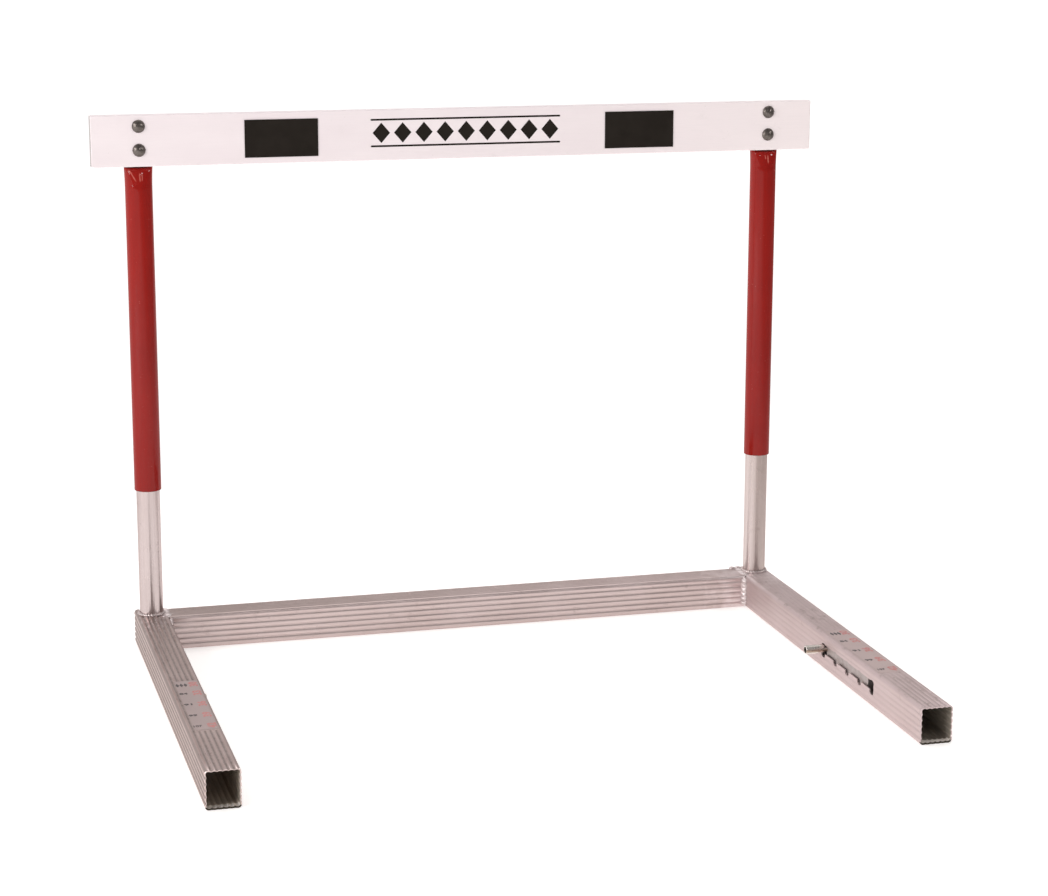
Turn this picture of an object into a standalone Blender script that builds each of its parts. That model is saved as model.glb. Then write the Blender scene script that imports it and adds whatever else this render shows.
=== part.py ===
"""Adjustable athletics hurdle: a U-shaped base of fluted tube, two telescoping posts and a gate board.

Metres, +Z up. +X runs along the board, -Y is where the two legs point, and the origin is at the middle of
the hurdle's box, on the ground. The hurdle stands at its lowest height, with its counterweights at the rear.
"""

import math

import bmesh
import bpy
from mathutils import Matrix, Vector

# ---- driving dimensions --------------------------------------------------------------------------------
GAP = 0.0003                  # left between touching pieces

TUBE_W = 0.0445               # fluted base tube, across
TUBE_H = 0.0500               # fluted base tube, height
TUBE_WALL = 0.0018
TUBE_CORNER = 0.0050
FLUTES = 5                    # grooves on each face
FLUTE_DEPTH = 0.0009
FLUTE_TOP = 0.0037            # groove width at the surface
FLUTE_FLOOR = 0.0013          # groove width at its floor

LEG_LENGTH = 0.700
LEG_REAR_Y = 0.347
LEG_CENTRES = 0.915           # between the two legs, and the two posts
CROSS_SETBACK = 0.004         # rear of the cross tube, in front of the legs' rear ends

POST_SETBACK = 0.024          # post axis, in front of the legs' rear ends
LOWER_POST_R = 0.0165
LOWER_POST_WALL = 0.0020
LOWER_POST_TOP = 0.652

SLEEVE_R = 0.01905            # 1 1/2 in tube
SLEEVE_WALL = 0.00165
SLEEVE_BOTTOM = 0.2326
SLEEVE_TOP = 0.757
PRESS_START = 0.660           # the sleeve's front is pressed flat from here
PRESS_END = 0.691             # up to here, just under the board
PRESS_FLAT = 0.0010           # front of the pressed part, ahead of the post axis
PRESS_SPREAD = 0.05           # the pressed part is wider by this share

HEIGHT_STEP = 0.0762          # 3 in between height settings
HEIGHT_STEPS = 4
BUTTON_Z = 0.600              # snap button, from the ground

BOARD_L = 1.0464
BOARD_H = 0.0711
BOARD_T = 0.0159              # 5/8 in
BOARD_TOP = 0.762             # 30 in, the lowest setting
BOARD_FRONT = 0.0172          # board's front face, ahead of the post axis
BOLT_DROPS = (0.0156, 0.0483)     # the two bolts of a post, below the board's top
PANEL_L = 0.103
PANEL_H = 0.0522
PANEL_X = 0.2602
PANEL_DROP = 0.0362           # panel's centre, below the board's top
PANEL_T = 0.0006
BOARD_BEVEL = 0.0016

BOLT_R = 0.0039               # 5/16 in
BOLT_CLEARANCE = 0.0004
HEAD_R = 0.0090
HEAD_H = 0.0048
WASHER_R = 0.0085
WASHER_T = 0.0015
NUT_FLATS = 0.0127
NUT_T = 0.0068
THREAD_CHAMFER = 0.0007       # on the bolt's end and the nut's corners
BOLT_TAIL = 0.0020            # thread showing past the nut

NOTCH_FROM_REAR = 0.367       # first weight position, from the legs' rear ends
NOTCH_PITCH = 0.0432
NOTCHES = 5
NOTCH_HALF = 0.0065
NOTCH_FLOOR = 0.0168
NOTCH_ROUND = 0.0042
CHANNEL_FLOOR = 0.0230
CHANNEL_TOP = 0.0360
SHOULDER = 0.0018
ARCH_HALF = 0.0050
ARCH_TOP = 0.0372
SLOT_END_DROP = 0.0010        # the channel's ends slope down by this much

BAR_HALF_W = 0.0190
BAR_FLOOR = 0.0032
BAR_TOP = 0.0445
BAR_FRONT_FROM_REAR = 0.518
BAR_REAR_FROM_REAR = 0.200
POCKET_HALF = 0.0065
POCKET_FLOOR = 0.0166
POCKET_TOP = 0.0420
POCKET_DEPTH = 0.0335
BAR_BEVEL = 0.0012

PIN_R = 0.0061
PIN_BORE = 0.0045
PIN_LIP = 0.0005
PIN_LENGTH = 0.0420
PIN_Z = 0.0295
PIN_OUT = {"left": 0.0060, "right": 0.0270}     # standing out of the leg's inner face
PIN_SPRING_R = 0.0031
PIN_SPRING_WIRE_R = 0.0004
PIN_SPRING_TURNS = 2.75

BUTTON_R = 0.0040
BUTTON_HOLE_R = 0.0046
BUTTON_TIP = 0.0171           # tip when pressed in, from the post axis
BUTTON_FLANGE_R = 0.0060
BUTTON_FLANGE = 0.0075        # outer face of the flange, from the post axis
BUTTON_FLANGE_T = 0.0012
BUTTON_DOME = 0.0022

STRIP_HALF_W = 0.0045         # spring strip behind the button
STRIP_T = 0.0008
STRIP_BEND_R = 0.0040
STRIP_BEND_DROP = 0.0450      # bend, below the button
STRIP_FRONT_GAP = 0.0022      # front limb, from the post's inside
STRIP_FRONT_RISE = 0.0100     # end of the front limb, above the button
STRIP_BACK_RISE = 0.0080

LABEL_W = 0.0315
LABEL_FROM_REAR = (0.352, 0.552)
LABEL_T = 0.0004

FRONT_BEAD_R = 0.0027
TOP_BEAD_R = 0.0018
FOOT_BEAD_R = 0.0016

POST_Y = LEG_REAR_Y - POST_SETBACK
FRONT_Y = POST_Y - BOARD_FRONT
BACK_Y = FRONT_Y + BOARD_T
CROSS_REAR_Y = LEG_REAR_Y - CROSS_SETBACK
NOTCH_Y = LEG_REAR_Y - NOTCH_FROM_REAR
SIDES = (("left", -1), ("right", 1))

# ---- scene and materials -------------------------------------------------------------------------------
for old in list(bpy.data.objects):
    bpy.data.objects.remove(old, do_unlink=True)

PARTS = bpy.data.collections.new("athletics_hurdle")
CUTTERS = bpy.data.collections.new("cutters")
bpy.context.scene.collection.children.link(PARTS)
bpy.context.scene.collection.children.link(CUTTERS)


def material(name, colour, roughness, metallic=0.0):
    mat = bpy.data.materials.new(name)
    mat.use_nodes = True
    shader = mat.node_tree.nodes["Principled BSDF"]
    shader.inputs["Base Color"].default_value = (*colour, 1.0)
    shader.inputs["Roughness"].default_value = roughness
    shader.inputs["Metallic"].default_value = metallic
    mat.diffuse_color = (*colour, 1.0)
    return mat


FLUTED = material("fluted_aluminium", (0.60, 0.54, 0.53), 0.38, 1.0)
DRAWN = material("drawn_aluminium", (0.63, 0.58, 0.57), 0.30, 1.0)
WELD = material("weld_bead", (0.70, 0.66, 0.65), 0.35, 1.0)
RED = material("red_enamel", (0.37, 0.025, 0.02), 0.25)
BOARD = material("white_board", (0.86, 0.80, 0.82), 0.42)
PANEL = material("black_vinyl", (0.022, 0.018, 0.016), 0.5)
LABEL = material("setting_label", (0.58, 0.50, 0.49), 0.45)
ZINC = material("dark_zinc", (0.20, 0.18, 0.16), 0.35, 1.0)
PLATED = material("plated_steel", (0.62, 0.60, 0.57), 0.25, 1.0)
IRON = material("weight_steel", (0.34, 0.31, 0.30), 0.5, 1.0)
SPRING = material("spring_steel", (0.40, 0.40, 0.42), 0.3, 1.0)


# ---- shape helpers -------------------------------------------------------------------------------------
def place(obj, mat, collection=PARTS):
    collection.objects.link(obj)
    if mat:
        obj.data.materials.append(mat)
    return obj


def smooth(obj, degrees=35):
    obj.data.shade_smooth()
    obj.data.set_sharp_from_angle(angle=math.radians(degrees))
    return obj


def mesh_object(name, bm, mat, collection=PARTS):
    mesh = bpy.data.meshes.new(name)
    bm.to_mesh(mesh)
    bm.free()
    return place(bpy.data.objects.new(name, mesh), mat, collection)


def box(name, low, high, mat, collection=PARTS):
    """A box between two corners, with its origin at its centre."""
    low, high = Vector(low), Vector(high)
    bm = bmesh.new()
    bmesh.ops.create_cube(bm, size=1.0)
    bmesh.ops.scale(bm, vec=high - low, verts=bm.verts)
    obj = mesh_object(name, bm, mat, collection)
    obj.location = (low + high) / 2
    return obj


def bevel(obj, width, segments=2):
    mod = obj.modifiers.new("edges", "BEVEL")
    mod.width = width
    mod.segments = segments
    mod.limit_method = "ANGLE"
    return obj


def cylinder(name, radius, low, high, mat=None, collection=CUTTERS, segments=24):
    """A cylinder along Y between two points."""
    low, high = Vector(low), Vector(high)
    bm = bmesh.new()
    bmesh.ops.create_cone(bm, cap_ends=True, segments=segments, radius1=radius, radius2=radius,
                          depth=(high - low).length)
    bmesh.ops.rotate(bm, cent=(0, 0, 0), matrix=Matrix.Rotation(math.pi / 2, 3, "X"), verts=bm.verts)
    obj = mesh_object(name, bm, mat, collection)
    obj.location = (low + high) / 2
    return obj


def turned(name, profile, mat, segments=24, collection=PARTS):
    """A profile of (radius, height) points turned about its Z axis; it runs down the outer side."""
    mesh = bpy.data.meshes.new(name)
    points = [(r, 0.0, z) for r, z in profile]
    edges = [(i, i + 1) for i in range(len(points) - 1)]
    if profile[0][0] > 0:
        edges.append((len(points) - 1, 0))
    mesh.from_pydata(points, edges, [])
    obj = place(bpy.data.objects.new(name, mesh), mat, collection)
    mod = obj.modifiers.new("turn", "SCREW")
    mod.steps = segments
    mod.render_steps = segments
    mod.use_merge_vertices = True
    mod.merge_threshold = 0.00001
    mod.use_smooth_shade = False
    return as_mesh(obj)


def as_mesh(obj):
    """The object's evaluated shape as a plain welded mesh, in the same place."""
    depsgraph = bpy.context.evaluated_depsgraph_get()
    depsgraph.update()
    mesh = bpy.data.meshes.new_from_object(obj.evaluated_get(depsgraph))
    bm = bmesh.new()
    bm.from_mesh(mesh)
    bmesh.ops.remove_doubles(bm, verts=bm.verts, dist=0.00001)
    bmesh.ops.recalc_face_normals(bm, faces=bm.faces)
    bm.to_mesh(mesh)
    bm.free()
    name, matrix, collection = obj.name, obj.matrix_world.copy(), obj.users_collection[0]
    bpy.data.objects.remove(obj, do_unlink=True)
    solid = bpy.data.objects.new(name, mesh)
    solid.matrix_world = matrix
    collection.objects.link(solid)
    return smooth(solid)


def outline(name, loops, depth, mat, rotation, location, collection=PARTS):
    """Flat closed outlines (the first is the outer one), filled and extruded to a depth, as a mesh."""
    curve = bpy.data.curves.new(name, "CURVE")
    curve.dimensions = "2D"
    curve.fill_mode = "BOTH"
    curve.extrude = depth / 2
    for loop in loops:
        spline = curve.splines.new("POLY")
        spline.points.add(len(loop) - 1)
        for point, (u, v) in zip(spline.points, loop):
            point.co = (u, v, 0, 1)
        spline.use_cyclic_u = True
    obj = place(bpy.data.objects.new(name, curve), mat, collection)
    obj.rotation_euler = rotation
    obj.location = location
    return as_mesh(obj)


def rod(name, points, radius, mat, resolution=2, collection=PARTS):
    """A round rod along a list of points, as a mesh."""
    curve = bpy.data.curves.new(name, "CURVE")
    curve.dimensions = "3D"
    curve.bevel_depth = radius
    curve.bevel_resolution = resolution
    curve.use_fill_caps = True
    spline = curve.splines.new("POLY")
    spline.points.add(len(points) - 1)
    for point, co in zip(spline.points, points):
        point.co = (*co, 1)
    return as_mesh(place(bpy.data.objects.new(name, curve), mat, collection))


def cut(obj, cutter, operation="DIFFERENCE"):
    mod = obj.modifiers.new(cutter.name, "BOOLEAN")
    mod.object = cutter
    mod.operation = operation
    mod.solver = "EXACT"
    cutter.hide_render = True
    cutter.display_type = "WIRE"
    return obj


def arc(centre, radius, start, end, steps):
    """Points on an arc; the angles are in degrees."""
    points = []
    for i in range(steps + 1):
        angle = math.radians(start + (end - start) * i / steps)
        points.append((centre[0] + radius * math.cos(angle), centre[1] + radius * math.sin(angle)))
    return points


# ---- base of fluted tube -------------------------------------------------------------------------------
def fluted_loop(width, height, corner):
    """Rounded rectangle with grooves in all four faces, anticlockwise, centred on the tube's axis."""
    points = []
    for side in range(4):
        across, up = (height, width) if side % 2 == 0 else (width, height)
        full = TUBE_H if side % 2 == 0 else TUBE_W
        pitch = (full - 2 * TUBE_CORNER) / FLUTES
        turn = Matrix.Rotation(math.radians(90 * side), 2)
        local = []
        for i in range(FLUTES):
            middle = (i - (FLUTES - 1) / 2) * pitch
            local.append((up / 2, middle - FLUTE_TOP / 2))
            local.append((up / 2 - FLUTE_DEPTH, middle - FLUTE_FLOOR / 2))
            local.append((up / 2 - FLUTE_DEPTH, middle + FLUTE_FLOOR / 2))
            local.append((up / 2, middle + FLUTE_TOP / 2))
        local += arc((up / 2 - corner, across / 2 - corner), corner, 0, 90, 4)
        points += [tuple(turn @ Vector(p)) for p in local]
    return points


def fluted_tube(name, length, rotation, location):
    outer = fluted_loop(TUBE_W, TUBE_H, TUBE_CORNER)
    inner = fluted_loop(TUBE_W - 2 * TUBE_WALL, TUBE_H - 2 * TUBE_WALL, TUBE_CORNER - TUBE_WALL)
    tube = outline(name, [outer, inner], length, FLUTED, rotation, location)
    return smooth(tube, 25)


def slot_loop():
    """The weight's slot in (y, z): a channel with five notches below it and an arch above each."""
    low = []
    high = []
    for i in range(NOTCHES):
        y = NOTCH_Y - i * NOTCH_PITCH
        wall_top = CHANNEL_FLOOR - SHOULDER
        flat = NOTCH_HALF - NOTCH_ROUND
        if i > 0:
            low += arc((y + NOTCH_HALF + SHOULDER, wall_top), SHOULDER, 90, 180, 3)
        low += arc((y + flat, NOTCH_FLOOR + NOTCH_ROUND), NOTCH_ROUND, 0, -90, 4)
        low += arc((y - flat, NOTCH_FLOOR + NOTCH_ROUND), NOTCH_ROUND, -90, -180, 4)
        if i < NOTCHES - 1:
            low += arc((y - NOTCH_HALF - SHOULDER, wall_top), SHOULDER, 0, 90, 3)
        rise = ARCH_TOP - CHANNEL_TOP
        radius = (ARCH_HALF ** 2 + rise ** 2) / (2 * rise)
        spread = math.degrees(math.asin(ARCH_HALF / radius))
        high += arc((y, ARCH_TOP - radius), radius, 90 - spread, 90 + spread, 6)
    end_z = CHANNEL_TOP - SLOT_END_DROP
    rear = [(NOTCH_Y + NOTCH_HALF, end_z)]
    front = [(NOTCH_Y - (NOTCHES - 1) * NOTCH_PITCH - NOTCH_HALF, end_z)]
    return low + front + high[::-1] + rear


def leg(side_name, side):
    centre = side * LEG_CENTRES / 2
    tube = fluted_tube(side_name + "_leg", LEG_LENGTH, (math.pi / 2, 0, 0),
                       (centre, LEG_REAR_Y - LEG_LENGTH / 2, TUBE_H / 2))
    depth = 4 * (TUBE_WALL + FLUTE_DEPTH)
    slot = outline(side_name + "_slot", [slot_loop()], depth, None, (math.pi / 2, 0, math.pi / 2),
                   (centre - side * TUBE_W / 2, 0, 0), CUTTERS)
    return cut(tube, slot)


def cross_tube():
    length = LEG_CENTRES - TUBE_W - 2 * GAP
    fluted_tube("cross_tube", length, (math.pi / 2, 0, math.pi / 2),
                (0, CROSS_REAR_Y - TUBE_W / 2, TUBE_H / 2))


def welds(side_name, side):
    """Beads at the end of the cross tube, on its front, top and back, and round the post's foot."""
    face = side * (LEG_CENTRES - TUBE_W) / 2
    reach = FRONT_BEAD_R + 2 * GAP
    x = face - side * reach
    ends = (TUBE_CORNER, TUBE_H - TUBE_CORNER)
    front_y = CROSS_REAR_Y - TUBE_W - reach
    rod(side_name + "_front_weld", [(x, front_y, z) for z in ends], FRONT_BEAD_R, WELD)
    back_reach = TOP_BEAD_R + 2 * GAP
    back_x = face - side * back_reach
    back_y = CROSS_REAR_Y + back_reach
    rod(side_name + "_back_weld", [(back_x, back_y, z) for z in ends], TOP_BEAD_R, WELD)
    top_z = TUBE_H + TOP_BEAD_R + GAP
    rod(side_name + "_top_weld", [(face, CROSS_REAR_Y - TUBE_W + TUBE_CORNER, top_z),
                                  (face, CROSS_REAR_Y - TUBE_CORNER, top_z)], TOP_BEAD_R, WELD)
    ring = LOWER_POST_R + FOOT_BEAD_R + GAP
    profile = arc((ring, 0), FOOT_BEAD_R, 90, -225, 7)
    foot = turned(side_name + "_foot_weld", profile, WELD, 28)
    foot.location = (side * LEG_CENTRES / 2, POST_Y, TUBE_H + FOOT_BEAD_R + GAP)


def setting_label(side_name, side):
    centre = side * LEG_CENTRES / 2
    box(side_name + "_setting_label",
        (centre - LABEL_W / 2, LEG_REAR_Y - LABEL_FROM_REAR[1], TUBE_H + GAP),
        (centre + LABEL_W / 2, LEG_REAR_Y - LABEL_FROM_REAR[0], TUBE_H + GAP + LABEL_T), LABEL)


# ---- lower posts and their snap buttons ----------------------------------------------------------------
def lower_post(side_name, side):
    bottom = TUBE_H + GAP
    inner = LOWER_POST_R - LOWER_POST_WALL
    profile = [(LOWER_POST_R, LOWER_POST_TOP), (LOWER_POST_R, bottom), (inner, bottom),
               (inner, LOWER_POST_TOP)]
    post = turned(side_name + "_lower_post", profile, DRAWN, 40)
    post.location = (side * LEG_CENTRES / 2, POST_Y, 0)
    x = side * LEG_CENTRES / 2
    hole = cylinder(side_name + "_post_hole", BUTTON_HOLE_R, (x, POST_Y + inner / 2, BUTTON_Z),
                    (x, POST_Y + 2 * LOWER_POST_R, BUTTON_Z))
    cut(post, hole)


def snap_button(side_name, side):
    """A domed button with a flange inside the post; it points backwards."""
    stem = BUTTON_TIP - BUTTON_DOME
    cap = [(0, BUTTON_TIP)]
    for step in range(1, 5):
        angle = math.pi / 2 * step / 4
        cap.append((BUTTON_R * math.sin(angle), stem + BUTTON_DOME * math.cos(angle)))
    inner_face = BUTTON_FLANGE - BUTTON_FLANGE_T
    profile = cap + [(BUTTON_R, BUTTON_FLANGE), (BUTTON_FLANGE_R, BUTTON_FLANGE),
                     (BUTTON_FLANGE_R, inner_face), (0, inner_face)]
    button = turned(side_name + "_snap_button", profile, PLATED, 20)
    button.rotation_euler = (-math.pi / 2, 0, 0)
    button.location = (side * LEG_CENTRES / 2, POST_Y, BUTTON_Z)


def button_spring(side_name, side):
    """A V of spring strip inside the post, standing on its bend behind the button."""
    back_limb = BUTTON_FLANGE - BUTTON_FLANGE_T - GAP - STRIP_T / 2
    front_limb = STRIP_FRONT_GAP - (LOWER_POST_R - LOWER_POST_WALL)
    middle = (back_limb + front_limb) / 2
    path = [(front_limb, BUTTON_Z + STRIP_FRONT_RISE)]
    path += arc((middle, BUTTON_Z - STRIP_BEND_DROP), STRIP_BEND_R, 180, 360, 8)
    path += [(back_limb, BUTTON_Z - STRIP_BACK_RISE), (back_limb, BUTTON_Z + STRIP_BACK_RISE)]
    bm = bmesh.new()
    rows = [[bm.verts.new((x, y, z)) for x in (-STRIP_HALF_W, STRIP_HALF_W)] for y, z in path]
    for lower, upper in zip(rows, rows[1:]):
        bm.faces.new((lower[0], lower[1], upper[1], upper[0]))
    strip = mesh_object(side_name + "_button_spring", bm, SPRING)
    strip.location = (side * LEG_CENTRES / 2, POST_Y, 0)
    mod = strip.modifiers.new("thickness", "SOLIDIFY")
    mod.thickness = STRIP_T
    mod.offset = 0
    smooth(strip)


# ---- upper frame ---------------------------------------------------------------------------------------
def sleeve_ring(radius, inset, z):
    """One ring of the sleeve: round, with its front cut back to a chord where it is pressed flat."""
    share = min(1.0, max(0.0, (z - PRESS_START) / (PRESS_END - PRESS_START)))
    chord = max(PRESS_FLAT, SLEEVE_R * math.sqrt(1 - share * share)) - inset
    wide = 1 + PRESS_SPREAD * share * share
    steps = 32
    ring = []
    for i in range(steps):
        angle = 2 * math.pi * (i + 0.5) / steps
        ring.append((radius * wide * math.cos(angle), max(radius * math.sin(angle), -chord), z))
    return ring


def upper_post(side_name, side):
    """A round sleeve whose top is pressed flat at the front to take the board."""
    pressed = [PRESS_START + (PRESS_END - PRESS_START) * i / 6 for i in range(7)]
    heights = [SLEEVE_BOTTOM] + pressed + [SLEEVE_TOP]
    bm = bmesh.new()
    shells = []
    for radius, inset in ((SLEEVE_R, 0.0), (SLEEVE_R - SLEEVE_WALL, SLEEVE_WALL)):
        shells.append([[bm.verts.new(p) for p in sleeve_ring(radius, inset, z)] for z in heights])
    outer, inner = shells
    count = len(outer[0])
    for i in range(count):
        j = (i + 1) % count
        for low, high in zip(outer, outer[1:]):
            bm.faces.new((low[i], low[j], high[j], high[i]))
        for low, high in zip(inner, inner[1:]):
            bm.faces.new((low[j], low[i], high[i], high[j]))
        bm.faces.new((outer[0][j], outer[0][i], inner[0][i], inner[0][j]))
        bm.faces.new((outer[-1][i], outer[-1][j], inner[-1][j], inner[-1][i]))
    post = mesh_object(side_name + "_upper_post", bm, RED)
    x = side * LEG_CENTRES / 2
    post.location = (x, POST_Y, 0)
    for i in range(HEIGHT_STEPS + 1):
        z = BUTTON_Z - i * HEIGHT_STEP
        cut(post, cylinder(f"{side_name}_height_hole_{i}", BUTTON_HOLE_R, (x, POST_Y + SLEEVE_R / 2, z),
                           (x, POST_Y + 2 * SLEEVE_R, z), segments=16))
    for i, drop in enumerate(BOLT_DROPS):
        z = BOARD_TOP - drop
        cut(post, cylinder(f"{side_name}_post_bolt_hole_{i}", BOLT_R + BOLT_CLEARANCE,
                           (x, POST_Y - 2 * SLEEVE_R, z), (x, POST_Y + 2 * SLEEVE_R, z), segments=16))
    smooth(post, 40)


def gate_board():
    board = box("gate_board", (-BOARD_L / 2, FRONT_Y, BOARD_TOP - BOARD_H),
                (BOARD_L / 2, BACK_Y, BOARD_TOP), BOARD)
    for side_name, side in SIDES:
        for i, drop in enumerate(BOLT_DROPS):
            x, z = side * LEG_CENTRES / 2, BOARD_TOP - drop
            cut(board, cylinder(f"{side_name}_board_hole_{i}", BOLT_R + BOLT_CLEARANCE,
                                (x, FRONT_Y - BOARD_T, z), (x, BACK_Y + BOARD_T, z), segments=20))
    bevel(board, BOARD_BEVEL)
    board.modifiers.move(len(board.modifiers) - 1, 0)
    for side_name, side in SIDES:
        x, z = side * PANEL_X, BOARD_TOP - PANEL_DROP
        box(side_name + "_black_panel", (x - PANEL_L / 2, FRONT_Y - GAP - PANEL_T, z - PANEL_H / 2),
            (x + PANEL_L / 2, FRONT_Y - GAP, z + PANEL_H / 2), PANEL)


def board_bolts():
    """Round-headed bolts from the front, with a washer and a nut behind each post."""
    behind = POST_Y + SLEEVE_R + GAP
    nut_y = behind + WASHER_T + GAP
    length = nut_y + NUT_T + BOLT_TAIL - FRONT_Y + GAP
    sphere = (HEAD_R ** 2 + HEAD_H ** 2) / (2 * HEAD_H)
    sweep = math.asin(HEAD_R / sphere)
    dome = []
    for i in range(6):
        angle = sweep * i / 5
        dome.append((sphere * math.sin(angle), HEAD_H - sphere + sphere * math.cos(angle) + GAP))
    dome[0] = (0, HEAD_H + GAP)
    shank = [(HEAD_R - GAP, 0), (BOLT_R, 0), (BOLT_R, THREAD_CHAMFER - length),
             (BOLT_R - THREAD_CHAMFER, -length), (0, -length)]
    for side_name, side in SIDES:
        for level, drop in zip(("upper", "lower"), BOLT_DROPS):
            x, z = side * LEG_CENTRES / 2, BOARD_TOP - drop
            name = f"{side_name}_{level}"
            bolt = turned(name + "_bolt", dome + shank, ZINC, 20)
            bolt.rotation_euler = (math.pi / 2, 0, 0)
            bolt.location = (x, FRONT_Y - GAP, z)
            hole = BOLT_R + GAP
            ring = [(WASHER_R, WASHER_T), (WASHER_R, 0), (hole, 0), (hole, WASHER_T)]
            washer = turned(name + "_washer", ring, ZINC, 20)
            washer.rotation_euler = (-math.pi / 2, 0, 0)
            washer.location = (x, behind, z)
            hex_nut(name + "_nut", (x, nut_y, z), hole)


def hex_nut(name, location, hole):
    """A hexagon cut to a chamfered round at both ends, with its hole."""
    corner = NUT_FLATS / math.sqrt(3)
    bm = bmesh.new()
    bmesh.ops.create_cone(bm, cap_ends=True, segments=6, radius1=corner, radius2=corner, depth=NUT_T)
    nut = mesh_object(name, bm, ZINC)
    nut.rotation_euler = (-math.pi / 2, 0, 0)
    nut.location = Vector(location) + Vector((0, NUT_T / 2, 0))
    wide = corner + THREAD_CHAMFER / 2
    narrow = wide - 2 * THREAD_CHAMFER
    half = NUT_T / 2 + THREAD_CHAMFER / 2
    drum = [(narrow, half), (wide, half - THREAD_CHAMFER), (wide, THREAD_CHAMFER - half), (narrow, -half),
            (hole, -half), (hole, half)]
    ring = turned(name + "_round", drum, None, 30, CUTTERS)
    ring.rotation_euler = nut.rotation_euler
    ring.location = nut.location
    cut(nut, ring, "INTERSECT")


# ---- counterweights ------------------------------------------------------------------------------------
def weight(side_name, side):
    """A steel bar inside the leg, with a pocket for its lock pin and the pin's spring."""
    centre = side * LEG_CENTRES / 2
    bar = box(side_name + "_weight_bar",
              (centre - BAR_HALF_W, LEG_REAR_Y - BAR_FRONT_FROM_REAR, BAR_FLOOR),
              (centre + BAR_HALF_W, LEG_REAR_Y - BAR_REAR_FROM_REAR, BAR_TOP), IRON)
    face = centre - side * BAR_HALF_W
    outside = face - side * POCKET_DEPTH
    inside = face + side * POCKET_DEPTH
    pocket = box(side_name + "_pocket", (min(outside, inside), NOTCH_Y - POCKET_HALF, POCKET_FLOOR),
                 (max(outside, inside), NOTCH_Y + POCKET_HALF, POCKET_TOP), None, CUTTERS)
    bevel(bar, BAR_BEVEL, 1)
    cut(bar, pocket)

    outer_end = centre - side * (TUBE_W / 2 + PIN_OUT[side_name])
    tube = [(PIN_R - PIN_LIP, PIN_LENGTH), (PIN_R, PIN_LENGTH - PIN_LIP), (PIN_R, PIN_LIP),
            (PIN_R - PIN_LIP, 0), (PIN_BORE, 0), (PIN_BORE, PIN_LENGTH)]
    pin = turned(side_name + "_lock_pin", tube, PLATED, 28)
    pin.rotation_euler = (0, side * math.pi / 2, 0)
    pin.location = (outer_end, NOTCH_Y, PIN_Z)
    pin_spring(side_name, face + side * (PIN_SPRING_R + 3 * PIN_SPRING_WIRE_R))


def pin_spring(side_name, x):
    """A short coil between the lock pin and the roof of its pocket."""
    low = PIN_Z + PIN_R + GAP + PIN_SPRING_WIRE_R
    high = POCKET_TOP - GAP - PIN_SPRING_WIRE_R
    steps = 34
    helix = []
    for i in range(steps + 1):
        angle = 2 * math.pi * PIN_SPRING_TURNS * i / steps
        helix.append((x + PIN_SPRING_R * math.cos(angle), NOTCH_Y + PIN_SPRING_R * math.sin(angle),
                      low + (high - low) * i / steps))
    rod(side_name + "_pin_spring", helix, PIN_SPRING_WIRE_R, SPRING)


# ---- the hurdle ----------------------------------------------------------------------------------------
cross_tube()
gate_board()
board_bolts()
for side_label, side_sign in SIDES:
    leg(side_label, side_sign)
    welds(side_label, side_sign)
    setting_label(side_label, side_sign)
    lower_post(side_label, side_sign)
    snap_button(side_label, side_sign)
    button_spring(side_label, side_sign)
    upper_post(side_label, side_sign)
    weight(side_label, side_sign)
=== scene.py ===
"""Looks of the athletics hurdle: fluted aluminium base, red sleeves, white gate board, on a pale floor."""

import math

import bmesh
import bpy
import numpy as np
from mathutils import Matrix, Vector, noise


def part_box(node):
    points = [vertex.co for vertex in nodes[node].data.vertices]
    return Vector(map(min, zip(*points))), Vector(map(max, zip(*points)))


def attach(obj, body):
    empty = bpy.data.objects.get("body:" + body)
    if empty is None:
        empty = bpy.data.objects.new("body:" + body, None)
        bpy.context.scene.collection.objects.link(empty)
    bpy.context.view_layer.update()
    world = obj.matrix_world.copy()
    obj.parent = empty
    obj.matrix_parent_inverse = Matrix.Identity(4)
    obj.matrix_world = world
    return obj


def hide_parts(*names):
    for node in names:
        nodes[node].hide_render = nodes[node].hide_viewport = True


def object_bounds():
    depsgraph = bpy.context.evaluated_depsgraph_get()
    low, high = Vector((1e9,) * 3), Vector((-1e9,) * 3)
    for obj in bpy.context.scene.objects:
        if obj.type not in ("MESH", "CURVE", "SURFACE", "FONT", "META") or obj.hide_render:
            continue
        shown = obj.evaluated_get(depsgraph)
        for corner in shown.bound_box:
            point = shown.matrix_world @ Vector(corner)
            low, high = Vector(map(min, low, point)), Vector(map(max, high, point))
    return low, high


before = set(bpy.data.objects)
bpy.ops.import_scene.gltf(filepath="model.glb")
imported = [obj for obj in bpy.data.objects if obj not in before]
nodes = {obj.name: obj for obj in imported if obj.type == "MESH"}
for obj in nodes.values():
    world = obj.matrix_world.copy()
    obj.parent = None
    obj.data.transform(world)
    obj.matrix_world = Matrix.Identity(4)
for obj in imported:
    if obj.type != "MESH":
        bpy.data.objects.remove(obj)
cad_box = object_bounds()
SIDES = (("left", -1), ("right", 1))
LOOKS = bpy.data.collections.new("looks")
bpy.context.scene.collection.children.link(LOOKS)

# ---- camera --------------------------------------------------------
# It stands ahead of the hurdle and to its left, and looks slightly down. Yaw is its turn from +Y towards +X.
CAMERA_AT = Vector((-0.8638, -3.2060, 1.0851))
CAMERA_YAW = math.radians(15.19)
CAMERA_PITCH = math.radians(12.70)
CAMERA_ROLL = math.radians(0.143)
CAMERA_LENS = 87.62


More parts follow.
